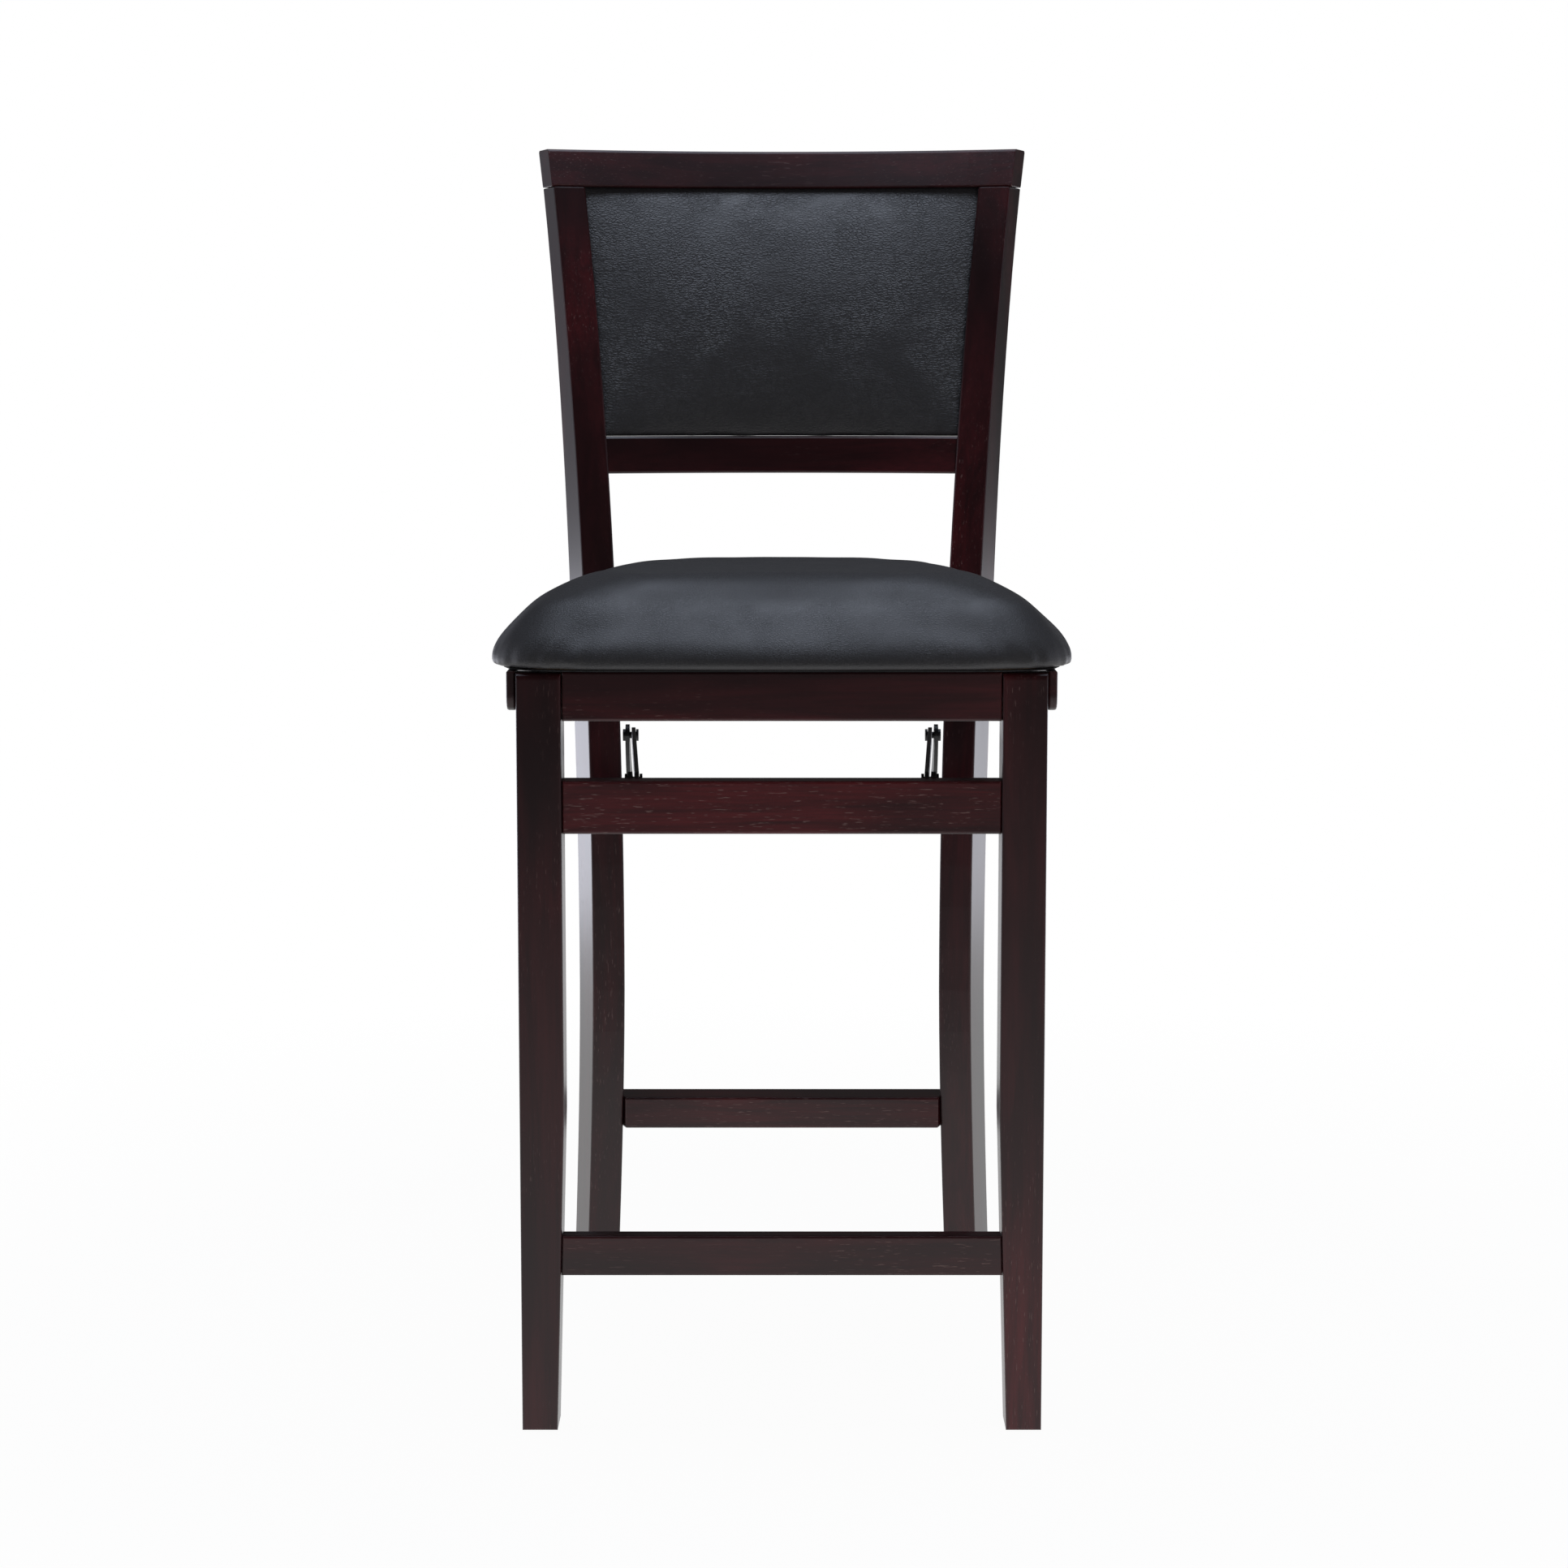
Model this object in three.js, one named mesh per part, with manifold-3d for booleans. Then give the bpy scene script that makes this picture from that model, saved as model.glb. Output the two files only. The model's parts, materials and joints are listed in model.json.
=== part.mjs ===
// Folding counter stool: curved rear legs with a padded back, a hinged seat and a front frame that folds up with it.
// Millimetres, +Z up. X is the width, Y the depth from the front legs to the back.
import * as THREE from "three";
import { mergeVertices } from "three/addons/utils/BufferGeometryUtils.js";
import Module from "manifold-3d";

const wasm = await Module();
wasm.setup();

// Clearances and edges
const seam = 0.3; // between pieces that touch
const runningGap = 0.5; // beside a piece that swings
const boreGap = 0.3; // round a pivot in its hole
const openPivotGap = 0.9; // round the pivot where the linkage closes
const woodEdge = 1.6; // eased edges of the wood
const steelEdge = 0.4;
const cutOverrun = 4; // how far a cutting tool runs past the face that it cuts

// Hinge lines of the folding linkage, by depth and height
const rearLegDepth = 435.3; // of the rear legs' front faces, at the waist
const seatHingeReach = 97.3; // in front of the rear legs
const seatHingeDepth = rearLegDepth - seatHingeReach; // seat to rear frame
const hingeHeight = 558; // seat to rear frame, and seat to front legs
const legHingeDepth = 20; // seat to front legs
const linkHingeDepth = 32.5; // link to front frame
const linkDrop = 64; // of the link's hinges below the seat's
const linkHingeHeight = hingeHeight - linkDrop;
const linkRun = seatHingeDepth - legHingeDepth; // the link is as long as the seat between its hinges
const bracketHingeDepth = linkHingeDepth + linkRun; // link to rear frame

// Rear legs, each a curved board in an upright plane turned towards the middle
const legTurn = THREE.MathUtils.degToRad(19);
const rearLegHalfSpacing = 150.7; // middle of the front face at the waist
const rearLegThickness = 29;
const rearLegTop = 958.6;
const waistHeight = 272; // where the leg stands furthest forward
const widestHeight = 480;
const footSweep = 25;
const topSweep = 110.5;
const footSweepPower = 1.6;
const topSweepPower = 2.2;
const footWidth = 43;
const widestWidth = 47;
const topWidth = 36;
const legSteps = 26;
const backRadius = rearLegHalfSpacing / Math.sin(legTurn); // of the back's curve, at the waist
const backAxisDepth = rearLegDepth - rearLegHalfSpacing / Math.tan(legTurn);

// Rails of the rear frame
const crestHeight = 33;
const crestThickness = 31;
const crestOverhang = 1.6;
const backRailBottom = 709;
const backRailHeight = 32;
const backRailThickness = 22;
const backRailSetback = 3;
const middleRailDrop = 91; // of its lower edge below the link's hinge
const middleRailBottom = linkHingeHeight - middleRailDrop;
const middleRailHeight = 40;
const middleRailThickness = 20;
const middleRailSetback = 10;
const stretcherBottom = 136;
const stretcherHeight = 27.5;
const stretcherThickness = 37;
const stretcherSetback = 7;
const railSteps = 20;

// Back pad and panel
const panelThickness = 8;
const padSetback = 9; // of the pad's edge behind the legs' front faces
const padCrown = 20;
const padBody = 6; // thickness of the pad at its edge
const padCrownPower = 3.2;
const padSteps = 22;

// Front frame
const legOuter = 196; // half the width over the front legs
const legInner = 162.7;
const legInnerFoot = 169.4;
const legTaperHeight = 245; // the inner side tapers below this
const legDepth = 38;
const legTopRadius = 19; // round the seat's hinge
const legEdgeRise = 14; // of the legs' front edges above the hinge
const legFrontEdgeHeight = hingeHeight + legEdgeRise;
const midRailDrop = 36.5; // of its lower edge below the link's hinge
const midRailBottom = linkHingeHeight - midRailDrop;
const midRailHeight = 39.5;
const midRailThickness = 23.5;
const midRailSetback = 1.5;
const footRailBottom = 122.5;
const footRailHeight = 30.5;
const footRailThickness = 16;
const footRailSetback = 1.5;

// Seat frame
const railRise = 20.1; // of the seat frame's top above the hinges
const railTop = hingeHeight + railRise;
const apronHeight = 36.6;
const apronThickness = 20;
const apronSetback = 1;
const sideRailHeight = 30;
const sideRailThickness = 7;
const sideRailNose = 7; // depth of its front end
const sideRailNoseCut = 12;
const blockSize = 34;
const blockThickness = 15;
const dustCoverThickness = 1.1;
const dustCoverInset = 7;
const boardThickness = 8.5;
const boardInset = 12;

// Seat cushion
const cushionHalfWidth = 215;
const cushionFront = -12;
const cushionBackGap = 47.3; // in front of the rear legs
const cushionDepth = rearLegDepth - cushionBackGap - cushionFront;
const cushionHeight = 66;
const cushionGap = 0.5; // above the dust cover
const outlinePoints = 60;
// Half outline from the front middle round to the rear middle: half widths and depths
const outlineShares = [
  [0, 0],
  [0.42, 0.001],
  [0.8, 0.014],
  [0.955, 0.062],
  [1, 0.17],
  [0.985, 0.36],
  [0.935, 0.58],
  [0.8, 0.8],
  [0.52, 0.944],
  [0.24, 0.99],
  [0, 1],
];
// Section of the cushion from its lower edge to the crown: insets and heights
const cushionInset = 150;
const sectionShares = [
  [0.035, 0],
  [0.008, 0.07],
  [0, 0.17],
  [0.012, 0.33],
  [0.05, 0.5],
  [0.13, 0.67],
  [0.26, 0.8],
  [0.44, 0.9],
  [0.7, 0.965],
  [1, 1],
];

// Steel parts
const steelThickness = 3.3;
const armHeight = 24;
const armTail = 14; // past the block that it is screwed to
const hingeBlockHeight = 34;
const hingeBlockDepth = 40;
const hingeBlockSetback = 8;
const pivotRadius = 3.8;
const headRadius = 7.5;
const headThickness = 3.2;
const counterboreDepth = 4.6;
const linkHalfWidth = 6.5;
const linkRearPlace = 124.6; // half spacing of the links at their rear hinges
const linkFrontPlace = 108.4;
const linkPinRadius = 2.8;
const linkHeadRadius = 5;
const linkHeadThickness = 2;
const bracketRadius = 9;
const flangeWidth = 24;
const flangeHeight = 32;
const lugFoot = 20;
const roundSteps = 24;

// Glides under the feet
const glideHeight = 3;
const glideRadius = 9;
const glideStemRadius = 2.4;
const glideStemLength = 11;

const stool = new THREE.Group();
const rearFrame = new THREE.Group();
const seat = new THREE.Group();
const frontFrame = new THREE.Group();
const links = new THREE.Group();
stool.add(rearFrame, seat, frontFrame, links);

function finish(name, color, roughness, metalness = 0) {
  return new THREE.MeshStandardMaterial({ name, color, roughness, metalness });
}

const espresso = finish("espresso_wood", 0x3a1f22, 0.42);
const leather = finish("black_leatherette", 0x35353a, 0.5);
const steel = finish("black_steel", 0x17171a, 0.4, 0.8);
const plywood = finish("plywood", 0x9a7a54, 0.8);
const cloth = finish("black_dust_cloth", 0x0f0f10, 0.95);
const nylon = finish("grey_nylon", 0x6b6b6b, 0.6);

// Adds one named piece to a group
function add(group, name, geometry, material) {
  const mesh = new THREE.Mesh(geometry, material);
  mesh.name = name;
  group.add(mesh);
  return mesh;
}

// Adds a piece of the right side and its mirror image on the left
function addPair(group, name, geometry, material) {
  add(group, name + "_right", geometry, material);
  add(group, name + "_left", geometry, material).scale.x = -1;
}

// Solids for cuts and joins
function solidOf(geometry) {
  const bare = geometry.clone();
  bare.deleteAttribute("normal");
  bare.deleteAttribute("uv");
  const merged = mergeVertices(bare);
  return new wasm.Manifold(
    new wasm.Mesh({
      numProp: 3,
      vertProperties: new Float32Array(merged.attributes.position.array),
      triVerts: new Uint32Array(merged.index.array),
    }),
  );
}

function geometryOf(solid) {
  const mesh = solid.getMesh();
  const geometry = new THREE.BufferGeometry();
  geometry.setAttribute("position", new THREE.BufferAttribute(mesh.vertProperties, 3));
  geometry.setIndex(new THREE.BufferAttribute(mesh.triVerts, 1));
  geometry.computeVertexNormals();
  return geometry;
}

function cut(geometry, ...tools) {
  return geometryOf(tools.reduce((left, tool) => left.subtract(solidOf(tool)), solidOf(geometry)));
}

function join(...geometries) {
  return geometryOf(geometries.map(solidOf).reduce((sum, next) => sum.add(next)));
}

function common(first, second) {
  return geometryOf(solidOf(first).intersect(solidOf(second)));
}

// Drawing planes: across X, across Y and level
const X = new THREE.Vector3(1, 0, 0);
const Y = new THREE.Vector3(0, 1, 0);
const Z = new THREE.Vector3(0, 0, 1);
const sidePlane = new THREE.Matrix4().makeBasis(Y, Z, X);
const frontPlane = new THREE.Matrix4().makeBasis(X, Z, Y.clone().negate());
const levelPlane = new THREE.Matrix4();

function outline(points) {
  return new THREE.Shape(points.map(([x, y]) => new THREE.Vector2(x, y)));
}

function rectangle(left, bottom, right, top) {
  return outline([
    [left, bottom],
    [right, bottom],
    [right, top],
    [left, top],
  ]);
}

// Extrudes a shape from the start to the end of its plane's third direction, with eased edges
function extrude(plane, shape, start, end, edge = 0) {
  const geometry = new THREE.ExtrudeGeometry(shape, {
    depth: end - start - edge - edge,
    bevelEnabled: edge > 0,
    bevelThickness: edge,
    bevelSize: edge,
    bevelOffset: -edge,
    bevelSegments: 2,
    curveSegments: roundSteps / 2,
  });
  geometry.translate(0, 0, start + edge);
  return geometry.applyMatrix4(plane);
}

const alongX = (shape, start, end, edge) => extrude(sidePlane, shape, start, end, edge);
const alongY = (shape, start, end, edge) => extrude(frontPlane, shape, -end, -start, edge);
const upwards = (shape, start, end, edge) => extrude(levelPlane, shape, start, end, edge);

// A round pin along X
function pin(radius, start, end, depth, height) {
  const geometry = new THREE.CylinderGeometry(radius, radius, end - start, roundSteps);
  geometry.rotateZ(-Math.PI / 2);
  return geometry.translate((start + end) / 2, depth, height);
}

// A closed skin over rings of points, each ring running the same way round
function skin(rings) {
  const count = rings[0].length;
  const points = rings.flat();
  const faces = [];
  for (let ring = 0; ring < rings.length - 1; ring += 1) {
    for (let place = 0; place < count; place += 1) {
      const here = ring * count + place;
      const beside = ring * count + ((place + 1) % count);
      faces.push(here, beside, beside + count, here, beside + count, here + count);
    }
  }
  const first = points.length;
  const last = first + 1;
  const lastRing = (rings.length - 1) * count;
  points.push(middleOf(rings[0]), middleOf(rings.at(-1)));
  for (let place = 0; place < count; place += 1) {
    const beside = (place + 1) % count;
    faces.push(first, beside, place);
    faces.push(last, lastRing + place, lastRing + beside);
  }
  const geometry = new THREE.BufferGeometry().setFromPoints(points);
  geometry.setIndex(faces);
  geometry.computeVertexNormals();
  return geometry;
}

function middleOf(ring) {
  const sum = ring.reduce((total, point) => total.add(point), new THREE.Vector3());
  return sum.divideScalar(ring.length);
}

// Front edge of a rear leg, as the sweep behind its waist at a height
function sweepAt(height) {
  if (height > waistHeight) {
    const share = (height - waistHeight) / (rearLegTop - waistHeight);
    return topSweep * share ** topSweepPower;
  }
  return footSweep * ((waistHeight - height) / waistHeight) ** footSweepPower;
}

function legWidthAt(height) {
  if (height > widestHeight) {
    const share = (height - widestHeight) / (rearLegTop - widestHeight);
    return THREE.MathUtils.lerp(widestWidth, topWidth, THREE.MathUtils.smoothstep(share, 0, 1));
  }
  return THREE.MathUtils.lerp(footWidth, widestWidth, height / widestHeight);
}

// The back's radius at the legs' front faces
const backRadiusAt = (height) => backRadius + sweepAt(height);

// Half angle of a bowed piece that ends beside the legs' inner faces
const angleBetweenLegs = (radius) => legTurn - Math.asin((rearLegThickness / 2 + seam) / radius);
const angleOverLegs = (radius) => legTurn + Math.asin((rearLegThickness / 2 + crestOverhang) / radius);

// A piece bowed round the back's axis; its section is a ring of radii and heights at a place across it
function bowed(sectionAt, angleAt, steps) {
  const rings = [];
  for (let step = 0; step <= steps; step += 1) {
    const place = (2 * step) / steps - 1;
    rings.push(
      sectionAt(place).map(([radius, height]) => {
        const angle = place * angleAt(radius);
        return new THREE.Vector3(
          radius * Math.sin(angle),
          backAxisDepth + radius * Math.cos(angle),
          height,
        );
      }),
    );
  }
  return skin(rings);
}

// Section of a bowed rail with eased edges, leaning as the legs do
function railSection(bottom, top, setback, thickness, edge) {
  const front = (height) => backRadiusAt(height) + setback;
  const rear = (height) => front(height) + thickness;
  return [
    [front(bottom) + edge, bottom],
    [rear(bottom) - edge, bottom],
    [rear(bottom), bottom + edge],
    [rear(top), top - edge],
    [rear(top) - edge, top],
    [front(top) + edge, top],
    [front(top), top - edge],
    [front(bottom), bottom + edge],
  ];
}

// Rear frame
function rearLeg() {
  const front = [];
  const rear = [];
  for (let step = 0; step <= legSteps; step += 1) {
    const height = THREE.MathUtils.lerp(glideHeight, rearLegTop, step / legSteps);
    front.push([sweepAt(height), height]);
    rear.unshift([sweepAt(height) + legWidthAt(height), height]);
  }
  const board = extrude(
    levelPlane,
    outline([...rear.reverse(), ...front.reverse()]),
    -rearLegThickness / 2,
    rearLegThickness / 2,
    woodEdge,
  );
  const along = new THREE.Vector3(Math.sin(legTurn), Math.cos(legTurn), 0);
  const across = new THREE.Vector3(Math.cos(legTurn), -Math.sin(legTurn), 0);
  const place = new THREE.Matrix4().makeBasis(along, Z, across);
  place.setPosition(rearLegHalfSpacing, rearLegDepth, 0);
  return cut(board.applyMatrix4(place), glideBore(...rearFootMiddle()));
}

function rearFootMiddle() {
  const middle = sweepAt(glideHeight) + legWidthAt(glideHeight) / 2;
  return [
    rearLegHalfSpacing + middle * Math.sin(legTurn),
    rearLegDepth + middle * Math.cos(legTurn),
  ];
}

// Depth places of the legs' inner and outer planes give the slanted ends of what lies against them
function legPlaneAt(depth, side) {
  const offset = (side * rearLegThickness) / 2 / Math.cos(legTurn);
  return rearLegHalfSpacing + offset + (depth - rearLegDepth) * Math.tan(legTurn);
}

function straightRearRail(setback, thickness, bottom, height) {
  const front = rearLegDepth + setback;
  const rear = front + thickness;
  const frontEnd = legPlaneAt(front, -1) - seam;
  const rearEnd = legPlaneAt(rear, -1) - seam;
  const plan = outline([
    [-frontEnd, front],
    [frontEnd, front],
    [rearEnd, rear],
    [-rearEnd, rear],
  ]);
  return upwards(plan, bottom, bottom + height, woodEdge);
}

function crestRail() {
  const bottom = rearLegTop + seam;
  const section = railSection(bottom, bottom + crestHeight, 0, crestThickness, woodEdge);
  return bowed(() => section, angleOverLegs, railSteps);
}

function lowerBackRail() {
  const top = backRailBottom + backRailHeight;
  const section = railSection(backRailBottom, top, backRailSetback, backRailThickness, woodEdge);
  return bowed(() => section, angleBetweenLegs, railSteps);
}

const padBottom = backRailBottom + backRailHeight + seam;
const padTop = rearLegTop;

function backPad() {
  return bowed((place) => {
    const ring = [];
    const across = 1 - Math.abs(place) ** padCrownPower;
    for (let step = 0; step <= padSteps; step += 1) {
      const share = step / padSteps;
      const height = THREE.MathUtils.lerp(padTop, padBottom, share);
      const along = 1 - Math.abs(2 * share - 1) ** padCrownPower;
      ring.push([backRadiusAt(height) + padSetback - padCrown * across * along, height]);
    }
    for (let step = 0; step <= padSteps; step += 1) {
      const height = THREE.MathUtils.lerp(padBottom, padTop, step / padSteps);
      ring.push([backRadiusAt(height) + padSetback + padBody, height]);
    }
    return ring;
  }, angleBetweenLegs, padSteps);
}

function backPanel() {
  const setback = padSetback + padBody + seam;
  return bowed(() => {
    const ring = [];
    for (let step = 0; step <= padSteps; step += 1) {
      const height = THREE.MathUtils.lerp(padTop, padBottom, step / padSteps);
      ring.push([backRadiusAt(height) + setback, height]);
    }
    for (let step = 0; step <= padSteps; step += 1) {
      const height = THREE.MathUtils.lerp(padBottom, padTop, step / padSteps);
      ring.push([backRadiusAt(height) + setback + panelThickness, height]);
    }
    return ring;
  }, angleBetweenLegs, railSteps);
}

// Places across the stool of the seat's side rails and the arms that carry them
const sideRailInner = legOuter + runningGap;
const sideRailOuter = sideRailInner + sideRailThickness;
const armInner = sideRailOuter + runningGap;
const armOuter = armInner + steelThickness;
const hingeBlockFront = rearLegDepth + sweepAt(hingeHeight) + hingeBlockSetback;
const hingeBlockRear = hingeBlockFront + hingeBlockDepth;

function hingeBlock() {
  const plan = outline([
    [legPlaneAt(hingeBlockFront, 1) + seam, hingeBlockFront],
    [armInner - seam, hingeBlockFront],
    [armInner - seam, hingeBlockRear],
    [legPlaneAt(hingeBlockRear, 1) + seam, hingeBlockRear],
  ]);
  const bottom = hingeHeight - hingeBlockHeight / 2;
  return upwards(plan, bottom, bottom + hingeBlockHeight, steelEdge);
}

function roundedBar(startDepth, endDepth, height, radius) {
  const shape = new THREE.Shape();
  shape.absarc(endDepth, height, radius, -Math.PI / 2, Math.PI / 2);
  shape.absarc(startDepth, height, radius, Math.PI / 2, (3 * Math.PI) / 2);
  return shape;
}

function pivotArm() {
  const bar = roundedBar(seatHingeDepth, hingeBlockRear - armTail, hingeHeight, armHeight / 2);
  const plate = alongX(bar, armInner, armOuter, steelEdge);
  const hole = pin(
    pivotRadius + boreGap,
    armInner - cutOverrun,
    armOuter + cutOverrun,
    seatHingeDepth,
    hingeHeight,
  );
  return cut(plate, hole);
}

function rearPivotBolt() {
  const shank = pin(
    pivotRadius,
    sideRailInner + runningGap,
    armOuter + headThickness,
    seatHingeDepth,
    hingeHeight,
  );
  const head = pin(
    headRadius,
    armOuter + seam,
    armOuter + seam + headThickness,
    seatHingeDepth,
    hingeHeight,
  );
  return join(shank, head);
}

// Steel bracket that carries the link's rear hinge, bent from a plate with a foot on the middle rail
const bracketInner = linkRearPlace + steelThickness;
const bracketOuter = bracketInner + steelThickness;
const middleRailFront = rearLegDepth + middleRailSetback;

function linkBracket() {
  const footTop = middleRailBottom + (middleRailHeight + flangeHeight) / 2;
  const footBottom = footTop - flangeHeight;
  const footFace = middleRailFront - seam;
  const shape = new THREE.Shape();
  shape.moveTo(footFace, footBottom);
  shape.lineTo(footFace, footTop);
  shape.quadraticCurveTo(
    (bracketHingeDepth + footFace) / 2,
    footTop + bracketRadius,
    bracketHingeDepth + bracketRadius,
    linkHingeHeight,
  );
  shape.absarc(bracketHingeDepth, linkHingeHeight, bracketRadius, 0, Math.PI);
  shape.quadraticCurveTo(bracketHingeDepth, footTop, footFace, footBottom);
  const plate = alongX(shape, bracketInner, bracketOuter);
  const flange = rectangle(bracketOuter - flangeWidth, footBottom, bracketOuter, footTop);
  const foot = alongY(flange, footFace - steelThickness, footFace);
  const hole = pin(
    linkPinRadius + boreGap,
    bracketInner - cutOverrun,
    bracketOuter + cutOverrun,
    bracketHingeDepth,
    linkHingeHeight,
  );
  return cut(join(plate, foot), hole);
}

// Pin with a head at each end
function rivet(start, end, depth, height) {
  return join(
    pin(linkPinRadius, start - linkHeadThickness, end + linkHeadThickness, depth, height),
    pin(linkHeadRadius, start - linkHeadThickness, start, depth, height),
    pin(linkHeadRadius, end, end + linkHeadThickness, depth, height),
  );
}

function glideBore(across, depth) {
  const radius = glideStemRadius + boreGap;
  const length = glideStemLength + seam + cutOverrun;
  const bore = new THREE.CylinderGeometry(radius, radius, length, roundSteps);
  bore.rotateX(Math.PI / 2);
  return bore.translate(across, depth, glideHeight - cutOverrun + length / 2);
}

function glide(across, depth) {
  const face = glideHeight - seam;
  const profile = [
    [0, 0],
    [glideRadius - face / 2, 0],
    [glideRadius, face / 2],
    [glideRadius, face],
    [glideStemRadius, face],
    [glideStemRadius, face + glideStemLength],
    [0, face + glideStemLength],
  ].map(([radius, height]) => new THREE.Vector2(radius, height));
  const geometry = new THREE.LatheGeometry(profile, roundSteps);
  geometry.rotateX(Math.PI / 2);
  return geometry.translate(across, depth, 0);
}

// Seat
function cushionOutline(inset) {
  const half = outlineShares.map(([across, back]) => [
    across * cushionHalfWidth,
    cushionFront + back * cushionDepth,
  ]);
  const mirrored = half.slice(1, -1).map(([across, depth]) => [-across, depth]);
  const points = [...half, ...mirrored.reverse()].map(([x, y]) => new THREE.Vector3(x, y, 0));
  const curve = new THREE.CatmullRomCurve3(points, true, "centripetal");
  const middle = new THREE.Vector3(0, cushionFront + cushionDepth / 2, 0);
  return curve.getSpacedPoints(outlinePoints).slice(0, -1).map((point) => {
    const spoke = point.clone().sub(middle);
    return middle.clone().addScaledVector(spoke, 1 - inset / spoke.length());
  });
}

function levelPlate(inset, bottom, thickness) {
  const shape = new THREE.Shape(cushionOutline(inset).map((point) => new THREE.Vector2(point.x, point.y)));
  return upwards(shape, bottom, bottom + thickness);
}

const dustCoverBottom = railTop + seam;
const boardBottom = dustCoverBottom + dustCoverThickness + seam;
const cushionBottom = dustCoverBottom + dustCoverThickness + cushionGap;

function seatCushion() {
  const rings = sectionShares.map(([inset, height]) =>
    cushionOutline(inset * cushionInset).map((point) => {
      point.z = cushionBottom + height * cushionHeight;
      return point;
    }),
  );
  const pocketTop = boardBottom + boardThickness + seam;
  const pocket = levelPlate(boardInset - seam, cushionBottom - cutOverrun, pocketTop - cushionBottom + cutOverrun);
  return cut(skin(rings), pocket);
}

function sideRail() {
  const bottom = railTop - sideRailHeight;
  const end = seatHingeDepth + sideRailHeight / 2;
  const shape = new THREE.Shape();
  shape.moveTo(sideRailNose, railTop);
  shape.lineTo(sideRailNose, bottom + sideRailNoseCut);
  shape.quadraticCurveTo(sideRailNose, bottom, sideRailNose + sideRailNoseCut, bottom);
  shape.lineTo(end - sideRailNoseCut, bottom);
  shape.quadraticCurveTo(end, bottom, end, bottom + sideRailNoseCut);
  shape.lineTo(end, railTop - sideRailNoseCut);
  shape.quadraticCurveTo(end, railTop, end - sideRailNoseCut, railTop);
  const rail = alongX(shape, sideRailInner, sideRailOuter, woodEdge);
  const bore = (depth) =>
    pin(
      pivotRadius + boreGap,
      sideRailInner - cutOverrun,
      sideRailOuter + cutOverrun,
      depth,
      hingeHeight,
    );
  return cut(rail, bore(seatHingeDepth), bore(legHingeDepth));
}

function apron() {
  const end = legInner - runningGap;
  const face = rectangle(-end, railTop - apronHeight, end, railTop);
  return alongY(face, apronSetback, apronSetback + apronThickness, woodEdge);
}

// Glue block in the corner between the apron and the board, clear of the leg
function cornerBlock() {
  const end = legInner - runningGap;
  const rear = apronSetback + apronThickness + seam;
  const plan = outline([
    [end - blockSize, rear],
    [end, rear],
    [end, rear + blockSize],
  ]);
  return upwards(plan, railTop - blockThickness, railTop, steelEdge);
}

function frontPivotBolt() {
  const start = legInner + seam;
  const head = pin(headRadius, start, start + headThickness, legHingeDepth, hingeHeight);
  const shank = pin(pivotRadius, start, sideRailOuter - runningGap, legHingeDepth, hingeHeight);
  return join(head, shank);
}

// Front frame
function frontLeg() {
  const face = outline([
    [legOuter, glideHeight],
    [legOuter, railTop],
    [legInner, railTop],
    [legInner, legTaperHeight],
    [legInnerFoot, glideHeight],
  ]);
  const rearTopHeight = Math.sqrt(legTopRadius ** 2 - (legDepth - legHingeDepth) ** 2);
  const top = hingeHeight + legTopRadius;
  const side = new THREE.Shape();
  side.moveTo(0, glideHeight - cutOverrun);
  side.lineTo(0, legFrontEdgeHeight);
  side.quadraticCurveTo(0, top, top - legFrontEdgeHeight, top);
  side.absarc(
    legHingeDepth,
    hingeHeight,
    legTopRadius,
    Math.PI / 2,
    Math.atan2(rearTopHeight, legDepth - legHingeDepth),
    true,
  );
  side.lineTo(legDepth, glideHeight - cutOverrun);
  const leg = common(
    alongY(face, 0, legDepth, woodEdge),
    alongX(side, legInner - cutOverrun, legOuter + cutOverrun),
  );
  const bore = pin(
    pivotRadius + boreGap,
    legInner - cutOverrun,
    legOuter + cutOverrun,
    legHingeDepth,
    hingeHeight,
  );
  const counterbore = pin(
    headRadius + boreGap,
    legInner - cutOverrun,
    legInner + counterboreDepth,
    legHingeDepth,
    hingeHeight,
  );
  return cut(leg, bore, counterbore, glideBore(...frontFootMiddle()));
}

const frontFootMiddle = () => [(legOuter + legInnerFoot) / 2, legDepth / 2];

// Inner face of the front legs at a height
function legInnerAt(height) {
  return THREE.MathUtils.mapLinear(
    Math.min(height, legTaperHeight),
    glideHeight,
    legTaperHeight,
    legInnerFoot,
    legInner,
  );
}

function frontRail(bottom, height, setback, thickness) {
  const top = bottom + height;
  const face = outline([
    [seam - legInnerAt(bottom), bottom],
    [legInnerAt(bottom) - seam, bottom],
    [legInnerAt(top) - seam, top],
    [seam - legInnerAt(top), top],
  ]);
  return alongY(face, setback, setback + thickness, woodEdge);
}

// Steel lug with a foot on the back of the middle front rail, for the link's front hinge
const lugInner = linkFrontPlace + steelThickness;
const lugOuter = lugInner + steelThickness;

function railLug() {
  const face = midRailSetback + midRailThickness + seam;
  const bottom = linkHingeHeight - lugFoot - linkHalfWidth;
  const shape = new THREE.Shape();
  shape.moveTo(face, bottom);
  shape.lineTo(face + steelThickness, bottom);
  shape.lineTo(linkHingeDepth + linkHalfWidth, linkHingeHeight);
  shape.absarc(linkHingeDepth, linkHingeHeight, linkHalfWidth, 0, Math.PI);
  shape.lineTo(face, linkHingeHeight - linkHalfWidth);
  const plate = alongX(shape, lugInner, lugOuter);
  const foot = rectangle(lugInner, bottom, lugInner + lugFoot, bottom + lugFoot);
  const hole = pin(
    linkPinRadius + boreGap,
    lugInner - cutOverrun,
    lugOuter + cutOverrun,
    linkHingeDepth,
    linkHingeHeight,
  );
  return cut(join(plate, alongY(foot, face, face + steelThickness)), hole);
}

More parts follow.
